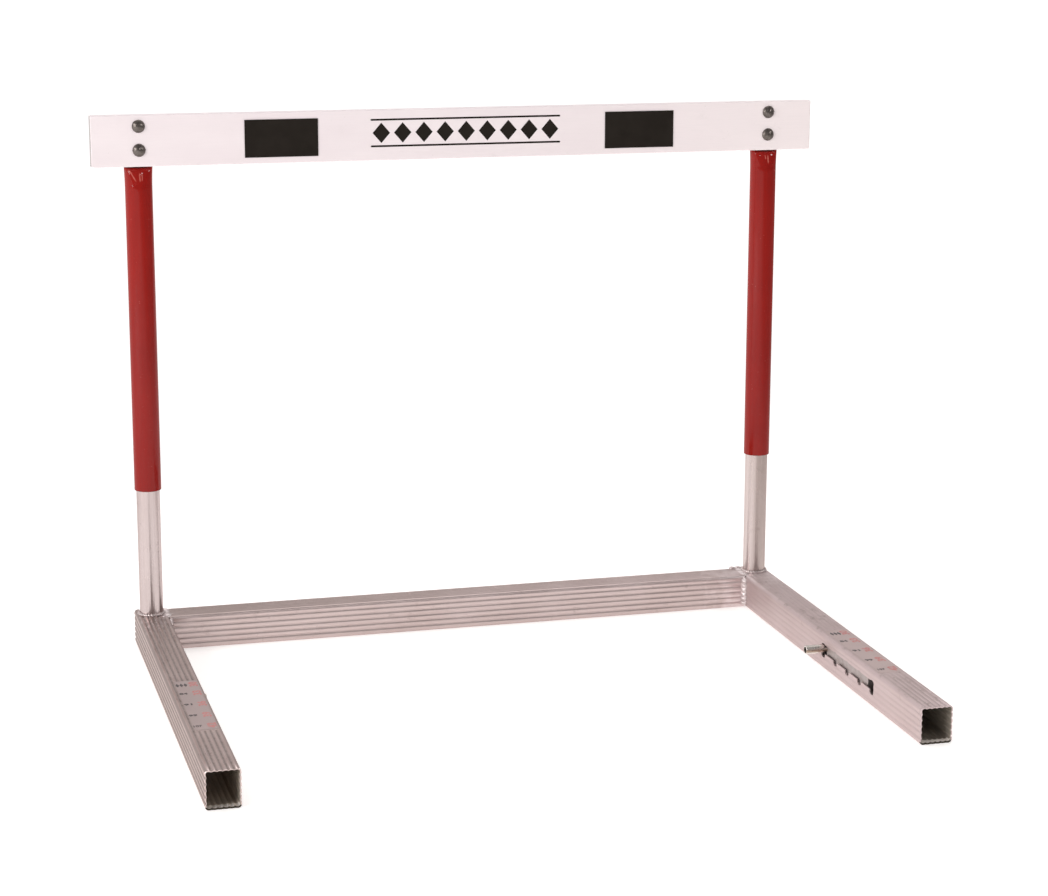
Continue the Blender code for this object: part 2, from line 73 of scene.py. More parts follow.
def make_camera():
    camera = linked("camera", bpy.data.cameras.new("camera"))
    camera.data.lens = CAMERA_LENS
    camera.data.sensor_width = 36.0
    camera.data.clip_end = 200.0
    ahead = Vector((math.sin(CAMERA_YAW) * math.cos(CAMERA_PITCH),
                    math.cos(CAMERA_YAW) * math.cos(CAMERA_PITCH),
                    -math.sin(CAMERA_PITCH)))
    level = Vector((math.cos(CAMERA_YAW), -math.sin(CAMERA_YAW), 0.0))
    upright = level.cross(ahead)
    right = math.cos(CAMERA_ROLL) * level + math.sin(CAMERA_ROLL) * upright
    up = math.cos(CAMERA_ROLL) * upright - math.sin(CAMERA_ROLL) * level
    turn = Matrix((right, up, -ahead)).transposed().to_4x4()
    camera.matrix_world = Matrix.Translation(CAMERA_AT) @ turn
    bpy.context.scene.camera = camera


# ---- places on the object that its materials need ------------------
MOUTH_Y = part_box("left_leg")[0].y
BOARD_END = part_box("gate_board")[1].x
CHIPPED_TO = 0.2330          # the enamel at a sleeve's foot is chipped up to this height
THREAD_PITCH = 0.00125


# ---- material helper -----------------------------------------------
class Look:
    """A Principled material whose inputs come from noise in the object's own coordinates, in metres."""

    def __init__(self, name, metallic=0.0, **fixed):
        self.mat = bpy.data.materials.new(name)
        self.mat.use_nodes = True
        self.tree = self.mat.node_tree
        self.shader = self.tree.nodes["Principled BSDF"]
        self.shader.inputs["Metallic"].default_value = metallic
        for socket, value in fixed.items():
            self.shader.inputs[socket.replace("_", " ")].default_value = value
        self.coords = self.node("ShaderNodeTexCoord").outputs["Object"]
        self.normal = None

    def node(self, kind, **settings):
        made = self.tree.nodes.new(kind)
        for key, value in settings.items():
            setattr(made, key, value)
        return made

    def feed(self, socket, value):
        if isinstance(value, bpy.types.NodeSocket):
            self.tree.links.new(value, socket)
        elif isinstance(value, tuple) and len(value) == 3 and socket.type == "RGBA":
            socket.default_value = (*value, 1.0)
        else:
            socket.default_value = value

    def noise(self, scale, detail=3.0, stretch=(1, 1, 1), turn=(0, 0, 0), rough=0.55):
        mapping = self.node("ShaderNodeMapping")
        mapping.inputs["Scale"].default_value = stretch
        mapping.inputs["Rotation"].default_value = turn
        made = self.node("ShaderNodeTexNoise")
        self.feed(mapping.inputs["Vector"], self.coords)
        self.feed(made.inputs["Vector"], mapping.outputs["Vector"])
        made.inputs["Scale"].default_value = scale
        made.inputs["Detail"].default_value = detail
        made.inputs["Roughness"].default_value = rough
        return made.outputs["Fac"]

    def remap(self, value, low, high, to_low=0.0, to_high=1.0, smooth=False):
        made = self.node("ShaderNodeMapRange", interpolation_type="SMOOTHSTEP" if smooth else "LINEAR")
        for index, item in enumerate((value, low, high, to_low, to_high)):
            self.feed(made.inputs[index], item)
        return made.outputs["Result"]

    def maths(self, operation, first, second=0.0):
        made = self.node("ShaderNodeMath", operation=operation)
        self.feed(made.inputs[0], first)
        self.feed(made.inputs[1], second)
        return made.outputs["Value"]

    def plus(self, first, second):
        return self.maths("ADD", first, second)

    def times(self, first, second):
        return self.maths("MULTIPLY", first, second)

    def mix(self, factor, first, second):
        made = self.node("ShaderNodeMix", data_type="RGBA")
        self.feed(made.inputs["Factor"], factor)
        self.feed(made.inputs["A"], first)
        self.feed(made.inputs["B"], second)
        return made.outputs["Result"]

    def attribute(self, name):
        return self.node("ShaderNodeAttribute", attribute_name=name).outputs["Fac"]

    def axis(self, letter):
        split = self.node("ShaderNodeSeparateXYZ")
        self.feed(split.inputs["Vector"], self.coords)
        return split.outputs[letter]

    def facing(self, letter):
        """One part of the surface's own normal."""
        split = self.node("ShaderNodeSeparateXYZ")
        self.feed(split.inputs["Vector"], self.node("ShaderNodeNewGeometry").outputs["Normal"])
        return split.outputs[letter]

    def share_along(self, letter):
        """0 at one end of the object's own box and 1 at the other."""
        split = self.node("ShaderNodeSeparateXYZ")
        self.feed(split.inputs["Vector"], self.node("ShaderNodeTexCoord").outputs["Generated"])
        return split.outputs[letter]

    def bump(self, height, distance, strength=1.0):
        made = self.node("ShaderNodeBump")
        made.inputs["Distance"].default_value = distance
        made.inputs["Strength"].default_value = strength
        self.feed(made.inputs["Height"], height)
        if self.normal is not None:
            self.feed(made.inputs["Normal"], self.normal)
        self.normal = made.outputs["Normal"]

    def scratches(self, turn, scale=500.0, keep=0.70):
        """Sparse fine lines that run along the turned Y axis: 1 on a line."""
        lines = self.noise(scale, 2.0, (1.0, 0.012, 1.0), turn)
        return self.remap(lines, keep, keep + 0.03)

    def done(self, colour, roughness):
        self.feed(self.shader.inputs["Base Color"], colour)
        self.feed(self.shader.inputs["Roughness"], roughness)
        if self.normal is not None:
            self.feed(self.shader.inputs["Normal"], self.normal)
        return self.mat


# Tones of what lies on bare aluminium, where it is worn, and of the light and shade painted on it
SCRATCHED = (0.86, 0.78, 0.77)
PAINTED_LIGHT_TONE = (0.84, 0.745, 0.735)
TOP_DARKENING = (0.27, 0.22, 0.20)
SMUDGE = (0.25, 0.195, 0.165)
GRIME_AND_SHADE = (0.13, 0.097, 0.085)
BRUSHED_SHEEN = (0.84, 0.75, 0.75)
LIP_PAINTED_LIGHT = (0.97, 0.92, 0.88)
MUD_AND_SHADE = (0.055, 0.045, 0.035)


def aluminium(name, stretch, tones, rough, metallic=1.0, groove_dirt_and_shade=0.0, streaks=1.0, darker_top_left=0.0, grazing=0.70,
              inner_tone=(0.64, 0.57, 0.50), painted_light_left=0.0, painted_side_shade=0.0, smudged=0.0):
    """Bare drawn or extruded aluminium: die lines along the tube, dull patches, scratches, stains, dirty
    grooves, and painted light and shade.

    The tones are the metal's two, its die lines' and its stains'. The groove darkening is how dark the
    grooves are, partly dirty and partly painted shade, and the skin inside a fluted tube has its own tone.
    Grazing is how bright the metal is when seen along its surface. The painted light on the left is how much
    brighter the side towards -X is painted, as if lit, and the painted side shade is how much darker that
    side's grooves are painted, with painted shade on the rounded edge above them. Smudged is how brown the
    marks on top are."""
    look = Look(name, metallic=metallic, Specular_IOR_Level=0.06,
                Specular_Tint=(grazing * 1.05, grazing * 0.97, grazing * 0.96, 1.0))
    patches = look.noise(16.0, 5.0)
    lines = look.noise(900.0, 3.0, stretch)
    bands = look.noise(160.0, 2.0, stretch)
    colour = look.mix(look.remap(patches, 0.32, 0.68), tones[0], tones[1])
    colour = look.mix(look.remap(lines, 0.30, 0.72, 0.0, 0.45 * streaks), colour, tones[2])
    colour = look.mix(look.remap(bands, 0.35, 0.75, 0.0, 0.35 * streaks), colour, tones[1])
    stains = look.remap(look.noise(55.0, 6.0, rough=0.7), 0.60, 0.74, 0.0, 0.40)
    colour = look.mix(stains, colour, tones[3])
    marks = look.plus(look.scratches((0.2, 0.1, 0.5)), look.scratches((0.1, 0.5, -0.9), 380.0, 0.72))
    colour = look.mix(look.times(marks, 0.30), colour, SCRATCHED)
    wear = look.remap(patches, 0.3, 0.7, -0.06, 0.06)
    wear = look.plus(wear, look.remap(lines, 0.2, 0.8, -0.05, 0.05))
    roughness = look.plus(look.plus(wear, rough), look.times(stains, 0.25))
    if painted_light_left:
        # Painted light: the side towards -X is painted brighter, as if lit.
        colour = look.mix(look.remap(look.facing("X"), -0.20, -0.75, 0.0, painted_light_left), colour, PAINTED_LIGHT_TONE)
    # Upward faces are painted darker, more so towards -X.
    if darker_top_left:
        dust = look.times(on_top(look), look.remap(look.axis("X"), -0.40, 0.30, darker_top_left, 0.0))
        colour = look.mix(dust, colour, TOP_DARKENING)
    if smudged:
        smudge = look.remap(look.noise(75.0, 6.0, (1.0, 0.6, 1.0), rough=0.75), 0.54, 0.68, 0.0, smudged)
        colour = look.mix(look.times(smudge, on_top(look)), colour, SMUDGE)
    if groove_dirt_and_shade:
        brushed_sheen = brushed_sheen_zone(look)
        depth = look.maths("POWER", look.attribute("groove"), 0.70)
        # Dirt in the grooves together with painted shade: darker the deeper the groove.
        grime_and_shade = look.times(depth, look.remap(look.noise(120.0, 4.0), 0.25, 0.7, 0.5 * groove_dirt_and_shade, groove_dirt_and_shade))
        grime_and_shade = look.times(grime_and_shade, look.maths("SUBTRACT", 1.0, brushed_sheen))
        # Painted shade: the grooves of faces towards -X, and the rounded edge above them, are painted darker.
        if painted_side_shade:
            outward = look.remap(look.facing("X"), -0.60, -0.80)
            wide_lines = look.times(look.maths("POWER", look.attribute("groove"), 0.45), outward)
            slant = look.times(look.times(look.facing("X"), -1.0), look.facing("Z"))
            edge = look.times(look.remap(slant, 0.22, 0.46), 0.72)
            side_shade = look.times(look.maths("MAXIMUM", wide_lines, edge), painted_side_shade)
            grime_and_shade = look.maths("MAXIMUM", grime_and_shade, side_shade)
        colour = look.mix(grime_and_shade, colour, GRIME_AND_SHADE)
        # Painted highlight where the tubes were cleaned by wire brushing near the welds.
        colour = look.mix(look.times(brushed_sheen, 0.55), colour, BRUSHED_SHEEN)
        inner = look.attribute("inner")
        colour = look.mix(inner, colour, inner_tone)
        roughness = look.plus(roughness, look.times(inner, 0.32))
        # Dirt together with painted contact shade on the lower rim at the legs' mouths.
        mud_and_shade = mouth_band(look, 0.0005, 0.0030)
        end_or_inside = look.maths("MAXIMUM", inner, look.remap(look.facing("Y"), -0.5, -0.8))
        # Painted light: a pale band on the lower wall just inside the mouths, as if lit.
        lip_painted_light = look.maths("SUBTRACT", mouth_band(look, 0.0100, 0.0130), mud_and_shade)
        lip_painted_light = look.times(lip_painted_light, end_or_inside)
        colour = look.mix(lip_painted_light, colour, LIP_PAINTED_LIGHT)
        colour = look.mix(mud_and_shade, colour, MUD_AND_SHADE)
        roughness = look.plus(roughness, look.times(mud_and_shade, 0.3))
        dull = look.maths("MAXIMUM", grime_and_shade, mud_and_shade)
        look.feed(look.shader.inputs["Metallic"], look.remap(dull, 0.0, 1.0, metallic, 0.0))
    look.bump(lines, 0.00003, 0.6)
    look.bump(look.noise(70.0, 3.0), 0.00025, 0.5)
    look.bump(marks, 0.00002, 0.7)
    return look.done(colour, roughness)


def on_top(look):
    """1 on surfaces that face upwards."""
    return look.remap(look.facing("Z"), 0.5, 0.85)


def brushed_sheen_zone(look):
    """1 where the tubes were cleaned by wire brushing around the corner welds, with a ragged edge; a
    highlight is painted there too.

    The legs' flanks are left out."""
    ragged = look.remap(look.noise(60.0, 5.0), 0.3, 0.7, -0.03, 0.03)
    across = look.plus(look.axis("X"), ragged)
    right = look.remap(across, 0.375, 0.425)
    left = look.times(look.remap(across, -0.440, -0.455), look.remap(across, -0.470, -0.460))
    near_rear = look.remap(look.plus(look.axis("Y"), ragged), 0.225, 0.285)
    off_flanks = look.remap(look.maths("ABSOLUTE", look.facing("X")), 0.6, 0.9, 1, 0)
    near_rear = look.times(near_rear, off_flanks)
    return look.times(look.maths("MAXIMUM", right, left), near_rear)


def mouth_band(look, near, far):
    """1 on the lower wall of the legs' open ends, fading out between two distances from the end."""
    front = look.remap(look.axis("Y"), MOUTH_Y + near, MOUTH_Y + far, 1.0, 0.0)
    wavy = look.remap(look.noise(300.0, 3.0), 0.3, 0.7, -0.0008, 0.0008)
    low = look.remap(look.plus(look.axis("Z"), wavy), 0.0034, 0.0044, 1.0, 0.0)
    return look.times(front, low)


def plated(name, tones, rough, grain=600.0, threaded=False):
    """Plated steel or weld metal: fine mottling, dull spots and dark stains, and a bolt's thread."""
    look = Look(name, metallic=1.0)
    fine = look.noise(grain, 4.0)
    spots = look.noise(grain * 0.22, 5.0, rough=0.65)
    colour = look.mix(look.remap(fine, 0.3, 0.7), tones[0], tones[1])
    colour = look.mix(look.remap(spots, 0.55, 0.72, 0.0, 0.8), colour, tones[2])
    roughness = look.plus(look.remap(spots, 0.3, 0.7, -0.06, 0.14), rough)
    look.bump(fine, 0.00005, 0.5)
    if threaded:
        behind_head = look.remap(look.share_along("Y"), 0.16, 0.17)
        turns = look.maths("SINE", look.times(look.axis("Y"), 2 * math.pi / THREAD_PITCH))
        look.bump(look.times(turns, behind_head), 0.0004, 1.0)
        valley = look.remap(look.times(turns, behind_head), 0.0, -1.0, 0.0, 0.7)
        colour = look.mix(valley, colour, tones[2])
    return look.done(colour, roughness)


def pin_steel():
    """The lock pin: worn bright plating at both ends and a worn brown band around its middle."""
    look = Look("pin_steel", metallic=1.0)
    fine = look.noise(650.0, 4.0)
    spots = look.noise(140.0, 5.0, rough=0.65)
    colour = look.mix(look.remap(fine, 0.3, 0.7), (0.62, 0.57, 0.52), (0.74, 0.70, 0.66))
    band = look.maths("ABSOLUTE", look.maths("SUBTRACT", look.share_along("Z"), 0.42))
    band = look.plus(band, look.remap(spots, 0.3, 0.7, -0.06, 0.06))
    band = look.remap(band, 0.10, 0.20, 0.75, 0.0)
    colour = look.mix(band, colour, (0.30, 0.20, 0.13))
    colour = look.mix(look.remap(spots, 0.56, 0.70, 0.0, 0.8), colour, (0.24, 0.17, 0.12))
    look.bump(fine, 0.00005, 0.5)
    return look.done(colour, look.remap(spots, 0.3, 0.7, 0.16, 0.32))


def enamel():
    """Gloss red enamel: slight orange peel, deeper and lighter patches, dust, chips at the foot, and painted
    highlights along the dent's creases.
    """
    look = Look("red_enamel", Coat_Weight=0.50, Coat_Roughness=0.06, Specular_IOR_Level=0.0)
    patches = look.noise(11.0, 4.0)
    colour = look.mix(look.remap(patches, 0.3, 0.7), (0.255, 0.0065, 0.0040), (0.300, 0.0090, 0.0055))
    streaks = look.noise(260.0, 3.0, (1.0, 1.0, 0.05))
    colour = look.mix(look.remap(streaks, 0.40, 0.75, 0.0, 0.25), colour, (0.205, 0.006, 0.0045))
    dust = look.remap(look.noise(420.0, 6.0, rough=0.75), 0.66, 0.76, 0.0, 0.30)
    colour = look.mix(dust, colour, (0.30, 0.045, 0.038))
    foot = look.remap(look.axis("Z"), CHIPPED_TO, CHIPPED_TO + 0.0020, 1.0, 0.0)
    chips = look.times(foot, look.remap(look.noise(330.0, 5.0), 0.50, 0.60))
    colour = look.mix(chips, colour, (0.10, 0.035, 0.03))
    marks = look.scratches((0.15, 0.1, 0.6), 420.0, 0.72)
    colour = look.mix(look.times(marks, 0.30), colour, (0.52, 0.16, 0.13))
    # Painted highlight: pale lines along the dent's creases.
    colour = look.mix(look.attribute("highlighted_crease"), colour, (0.74, 0.23, 0.185))
    roughness = look.remap(patches, 0.3, 0.7, 0.26, 0.36)
    roughness = look.plus(roughness, look.times(dust, 0.4))
    look.bump(look.noise(480.0, 2.0), 0.00006, 0.35)
    look.bump(look.noise(40.0, 2.0), 0.0004, 0.25)
    look.bump(chips, 0.00015, 0.8)
    return look.done(colour, roughness)


def board_plastic():
    """White moulded board: faint grain along its length, handling smudges, greyer scuffs, painted light
    towards its right end, and painted shade on its end faces.
    """
    look = Look("white_board", Specular_IOR_Level=0.45)
    patches = look.noise(7.0, 4.0, (1.0, 1.0, 3.0))
    colour = look.mix(look.remap(patches, 0.3, 0.7), (0.850, 0.770, 0.792), (0.890, 0.816, 0.832))
    # Painted light: the board is painted paler towards its right end.
    painted_light_right_end = look.remap(look.axis("X"), 0.10, BOARD_END, 0.0, 0.7)
    colour = look.mix(painted_light_right_end, colour, (0.965, 0.880, 0.878))
    grain = look.noise(700.0, 3.0, (0.03, 1.0, 1.0))
    colour = look.mix(look.remap(grain, 0.45, 0.8, 0.0, 0.25), colour, (0.80, 0.74, 0.75))
    smudge = look.remap(look.noise(32.0, 7.0, rough=0.72), 0.62, 0.76, 0.0, 0.35)
    colour = look.mix(smudge, colour, (0.70, 0.65, 0.64))
    marks = look.scratches((0.0, 1.35, 1.5), 360.0, 0.73)
    colour = look.mix(look.times(marks, 0.30), colour, (0.56, 0.52, 0.51))
    # Painted shade on the board's end faces.
    painted_shade_ends = look.remap(look.maths("ABSOLUTE", look.axis("X")), BOARD_END - 0.0006, BOARD_END - 0.0003)
    painted_shade_ends = look.times(painted_shade_ends, look.remap(grain, 0.2, 0.6, 0.7, 1.0))
    colour = look.mix(painted_shade_ends, colour, (0.30, 0.27, 0.27))
    roughness = look.remap(patches, 0.3, 0.7, 0.34, 0.46)
    roughness = look.plus(roughness, look.times(smudge, 0.3))
    look.bump(grain, 0.00003, 0.4)
    look.bump(look.noise(1500.0, 2.0), 0.00003, 0.35)
    look.bump(marks, 0.00003, 0.6)
    return look.done(colour, roughness)


FILM_GRAIN = 900.0           # scale of the fine texture of films and inks


def film(name, tones, rough, metallic=0.0, shine=0.5):
    """Vinyl, printed film or ink: two close tones, fine texture and dust."""
    look = Look(name, metallic=metallic, Specular_IOR_Level=shine)
    patches = look.noise(45.0, 4.0)
    fine = look.noise(FILM_GRAIN, 3.0)
    colour = look.mix(look.remap(patches, 0.3, 0.7), tones[0], tones[1])
    dust = look.remap(look.noise(FILM_GRAIN * 0.45, 6.0, rough=0.75), 0.64, 0.76, 0.0, 0.5)
    colour = look.mix(dust, colour, tones[2])
    roughness = look.plus(look.remap(patches, 0.3, 0.7, -0.05, 0.08), rough)
    look.bump(fine, 0.00004, 0.5)
    return look.done(colour, roughness)


def floor_paper():
    """Pale studio floor that glows as if lit from below, and is painted grey and glows less far off, right
    and in front, as a painted falloff of the studio's light.
    """
    look = Look("studio_floor", Emission_Color=(1.0, 0.99, 0.98, 1.0))
    soft = look.noise(1.5, 2.0)
    rightwards = look.times(look.axis("X"), 0.89)
    beyond = look.maths("SUBTRACT", rightwards, look.times(look.axis("Y"), 0.45))
    # Painted falloff of the studio's light: grey and dimmer far off, right and in front.
    dim = look.remap(beyond, 0.50, 2.40, 0.0, 1.0, True)
    colour = look.mix(look.remap(soft, 0.3, 0.7), (0.93, 0.915, 0.90), (0.95, 0.935, 0.92))
    colour = look.mix(dim, colour, (0.60, 0.58, 0.56))
    distance = look.node("ShaderNodeVectorMath", operation="LENGTH")
    look.feed(distance.inputs[0], look.coords)
    glow = look.remap(distance.outputs["Value"], 1.0, 5.0, 0.42, 0.66, True)
    glow = look.times(glow, look.remap(dim, 0.0, 1.0, 1.0, 0.12))
    look.feed(look.shader.inputs["Emission Strength"], glow)
    return look.done(colour, look.remap(soft, 0.3, 0.7, 0.85, 0.95))


# Stretches of the noise that makes die lines
ALONG_X = (0.012, 1.0, 1.0)
ALONG_Y = (1.0, 0.012, 1.0)
ALONG_Z = (1.0, 1.0, 0.012)
# Tones of bare aluminium: two of the metal, then its die lines and its stains
EXTRUDED = ((0.57, 0.463, 0.446), (0.66, 0.553, 0.541), (0.45, 0.363, 0.347), (0.34, 0.268, 0.25))
LEG_TONES = ((0.61, 0.500, 0.476), (0.71, 0.602, 0.578), (0.50, 0.407, 0.382), (0.38, 0.298, 0.275))
SATIN = ((0.59, 0.485, 0.480), (0.64, 0.540, 0.540), (0.52, 0.430, 0.415), (0.41, 0.325, 0.31))
DRAWN = ((0.52, 0.441, 0.434), (0.61, 0.530, 0.525), (0.43, 0.356, 0.343), (0.32, 0.252, 0.236))
# DRAWN painted darker, as painted shade, for the right post.
SHADED_DRAWN = ((0.40, 0.328, 0.310), (0.48, 0.405, 0.386), (0.33, 0.265, 0.247), (0.25, 0.190, 0.173))

# The left leg's grooves and its side towards -X carry much more painted shade than the right leg's.
LEG_METAL = {"left": aluminium("leg_aluminium", ALONG_Y, LEG_TONES, 0.32, groove_dirt_and_shade=0.92, grazing=0.50,
                               inner_tone=(0.58, 0.52, 0.455), painted_side_shade=0.88),
             "right": aluminium("satin_leg_aluminium", ALONG_Y, SATIN, 0.50, metallic=0.80, groove_dirt_and_shade=0.12,
                                streaks=0.6, inner_tone=(0.40, 0.36, 0.31), smudged=0.60)}
CROSS_METAL = aluminium("cross_aluminium", ALONG_X, EXTRUDED, 0.38, groove_dirt_and_shade=0.30, darker_top_left=0.55)
# The right post is a darker copy, as painted shade, with painted light on its side towards -X.
POST_METAL = {"left": aluminium("post_aluminium", ALONG_Z, DRAWN, 0.26),
              "right": aluminium("shaded_post_aluminium", ALONG_Z, SHADED_DRAWN, 0.30, painted_light_left=0.48)}
WELD_METAL = plated("weld_aluminium", ((0.62, 0.545, 0.54), (0.76, 0.69, 0.685), (0.38, 0.31, 0.30)), 0.42,
                    grain=500.0)
FOOT_METAL = plated("foot_weld_aluminium", ((0.52, 0.44, 0.43), (0.66, 0.58, 0.57), (0.30, 0.24, 0.23)), 0.36,
                    grain=420.0)
RED = enamel()
WHITE = board_plastic()
BLACK_FILM = film("black_film", ((0.012, 0.009, 0.0065), (0.017, 0.013, 0.0100), (0.042, 0.036, 0.031)), 0.5,
                  shine=0.12)
# The right label is the same film in satin, painted lighter as painted light.
LABEL_FILM = {"left": film("label_film", ((0.45, 0.358, 0.345), (0.50, 0.406, 0.392), (0.38, 0.30, 0.288)),
                           0.36, metallic=0.92),
              "right": film("satin_lit_label_film",
                            ((0.55, 0.440, 0.425), (0.59, 0.482, 0.468), (0.48, 0.38, 0.365)),
                            0.50, metallic=0.80)}
BLACK_INK = film("black_ink", ((0.055, 0.045, 0.045), (0.085, 0.070, 0.068), (0.22, 0.18, 0.17)), 0.5)
RED_INK = film("red_ink", ((0.50, 0.185, 0.175), (0.56, 0.25, 0.235), (0.53, 0.36, 0.34)), 0.5)
BOLT_ZINC = plated("bolt_zinc", ((0.12, 0.105, 0.095), (0.17, 0.15, 0.14), (0.07, 0.058, 0.05)), 0.28,
                   threaded=True)
NUT_ZINC = plated("nut_zinc", ((0.18, 0.155, 0.135), (0.27, 0.24, 0.215), (0.10, 0.08, 0.065)), 0.26)
BRIGHT_PLATE = plated("bright_plate", ((0.70, 0.67, 0.63), (0.80, 0.77, 0.74), (0.38, 0.28, 0.20)), 0.20)
PIN_STEEL = pin_steel()
WEIGHT_STEEL = plated("weight_steel", ((0.40, 0.35, 0.34), (0.48, 0.43, 0.42), (0.26, 0.19, 0.16)), 0.50,
                      grain=350.0)
SPRING_STEEL = plated("spring_steel", ((0.36, 0.35, 0.36), (0.46, 0.45, 0.46), (0.20, 0.17, 0.15)), 0.28)


def paint(mat, *names):
    for name in names:
        obj = nodes[name]
        obj.data.materials.clear()
        obj.data.materials.append(mat)


# ---- shape helpers -------------------------------------------------
def linked(name, data):
    obj = bpy.data.objects.new(name, data)
    LOOKS.objects.link(obj)
    return obj


def mesh_object(name, bm):
    mesh = bpy.data.meshes.new(name)
    bm.to_mesh(mesh)
    bm.free()
    return linked(name, mesh)


def finished(name, bm, mat, body, slot, *stands_for, sharp=35.0):
    """A mesh piece riding on a body, with smooth shading broken at sharp edges."""
    return dressed(mesh_object(name, bm), mat, body, slot, *stands_for, sharp=sharp)


def shaded(mesh, sharp):
    mesh.shade_smooth()
    mesh.set_sharp_from_angle(angle=math.radians(sharp))


def dressed(obj, mat, body, slot, *stands_for, sharp=35.0):
    obj.data.materials.clear()
    obj.data.materials.append(mat)
    shaded(obj.data, sharp)
    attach(obj, body)
    if stands_for:
        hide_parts(*stands_for)
    return obj


def evaluated_mesh(obj):
    """The mesh that the object's modifiers or its text make."""
    depsgraph = bpy.context.evaluated_depsgraph_get()
    depsgraph.update()
    return bpy.data.meshes.new_from_object(obj.evaluated_get(depsgraph), preserve_all_data_layers=True,
                                           depsgraph=depsgraph)


def cut_away(obj, cutter):
    """Cuts one object's shape out of another and removes it."""
    mod = obj.modifiers.new("cut", "BOOLEAN")
    mod.object = cutter
    mod.operation = "DIFFERENCE"
    mod.solver = "EXACT"
    mesh = evaluated_mesh(obj)
    obj.modifiers.clear()
    obj.data = mesh
    shaded(mesh, 40.0)
    bpy.data.objects.remove(cutter, do_unlink=True)


def bridge(bm, first, second):
    """Faces between two closed rings of vertices."""
    count = len(first)
    for i in range(count):
        j = (i + 1) % count
        bm.faces.new((first[i], first[j], second[j], second[i]))


# ---- weld beads ----------------------------------------------------
BEAD_AROUND = 20
BEAD_STEP = 0.0004           # between the sections of a straight bead
FOOT_STEPS = 260             # sections of the bead round a post's foot
CRESCENT_LAG = 0.0016        # how far a crescent's ends lag behind its middle
# Half width and height of a bead, the pitch of its crescents, and how lumpy they are
BEADS = {"front": (0.0060, 0.0038, 0.0068, 0.48), "back": (0.0034, 0.0022, 0.0022, 0.22),
         "top": (0.0072, 0.0028, 0.0052, 0.40), "rear": (0.0040, 0.0036, 0.0085, 0.34),
         "foot": (0.0025, 0.0025, 0.00410, 0.45)}


def bead(side_name, kind, path, up, seed, mat=WELD_METAL, closed=False):
    """A weld bead along a path: an oval section whose crest steps forward in crescents.

    It stands for the CAD weld of the same kind; the CAD has no rear one."""
    half_width, height, pitch, lumps = BEADS[kind]
    steps = len(path)
    bm = bmesh.new()
    rings = []
    travelled = 0.0
    for i, point in enumerate(path):
        before = path[i - 1] if (i > 0 or closed) else path[0]
        after = path[(i + 1) % steps] if (i < steps - 1 or closed) else path[-1]
        along = (after - before).normalized()
        side = along.cross(up).normalized()
        if i:
            travelled += (point - path[i - 1]).length
        wobble = 1.0 + (0.04 + 0.3 * lumps) * noise.noise(point * 260.0 + Vector((seed, 0, 0)))
        taper = 1.0
        if not closed:
            share = i / (steps - 1)
            taper = min(1.0, math.sqrt(max(0.0, 1 - (2 * share - 1) ** 8)) + 0.05)
        ring = []
        for k in range(BEAD_AROUND):
            angle = 2 * math.pi * k / BEAD_AROUND
            across, rise = math.cos(angle), math.sin(angle)
            phase = (travelled - CRESCENT_LAG * across * across) / pitch
            crest = abs(math.sin(math.pi * phase)) ** 0.6
            swell = (1.0 - lumps + 1.2 * lumps * crest) * wobble * taper
            offset = side * (half_width * across * (1.0 - 0.3 * lumps * (1 - crest)) * wobble * taper)
            ring.append(bm.verts.new(point + offset + up * (height * rise * swell)))
        rings.append(ring)
    for first, second in zip(rings, rings[1:]):
        bridge(bm, first, second)
    if closed:
        bridge(bm, rings[-1], rings[0])
    else:
        bm.faces.new(rings[0][::-1])
        bm.faces.new(rings[-1])
    bmesh.ops.recalc_face_normals(bm, faces=bm.faces)
    stands_for = [] if kind == "rear" else [f"{side_name}_{kind}_weld"]
    finished(f"{side_name}_{kind}_bead", bm, mat, "base", "weld_aluminium", *stands_for, sharp=60.0)


def straight(start, end):
    """Points along a straight bead."""
    start, end = Vector(start), Vector(end)
    count = max(2, round((end - start).length / BEAD_STEP))
    return [start.lerp(end, i / count) for i in range(count + 1)]


def weld_beads(side_name, side):
    """The beads of one corner: where the cross tube's end meets the leg, and round the post's foot."""
    cross_low, cross_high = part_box("cross_tube")
    post_low, post_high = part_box(side_name + "_lower_post")
    end_x = cross_low.x if side < 0 else cross_high.x
    front_y, rear_y, top_z = cross_low.y, cross_high.y, cross_high.z
    inward = -side
    corner = (end_x + inward * 0.0014, front_y - 0.0014)
    bead(side_name, "front", straight((*corner, 0.0035), (*corner, top_z - 0.0030)),
         Vector((inward, -1, 0)).normalized(), 3 + side)
    back = (end_x + side * 0.0010, rear_y + 0.0004)
    bead(side_name, "back", straight((*back, 0.0040), (*back, top_z - 0.0035)),
         Vector((-side * 0.6, 1, 0)).normalized(), 7 + side)
    upright = Vector((0, 0, 1))
    top_x = end_x + side * 0.0030
    bead(side_name, "top", straight((top_x, front_y + 0.0015, top_z - 0.0014),
                                    (top_x, rear_y - 0.0015, top_z - 0.0014)), upright, 11 + side)
    if side > 0:
        rear = (rear_y - 0.0030, top_z - 0.0008)
        bead(side_name, "rear", straight((end_x - 0.011, *rear), (end_x + 0.008, *rear)), upright, 23)
    centre = (post_low + post_high) / 2
    radius = (post_high.x - post_low.x) / 2 + 0.0009
    ring = [Vector((centre.x + radius * math.cos(2 * math.pi * i / FOOT_STEPS),
                    centre.y + radius * math.sin(2 * math.pi * i / FOOT_STEPS), post_low.z + 0.0006))
            for i in range(FOOT_STEPS)]
    bead(side_name, "foot", ring, upright, 17 + side, FOOT_METAL, closed=True)


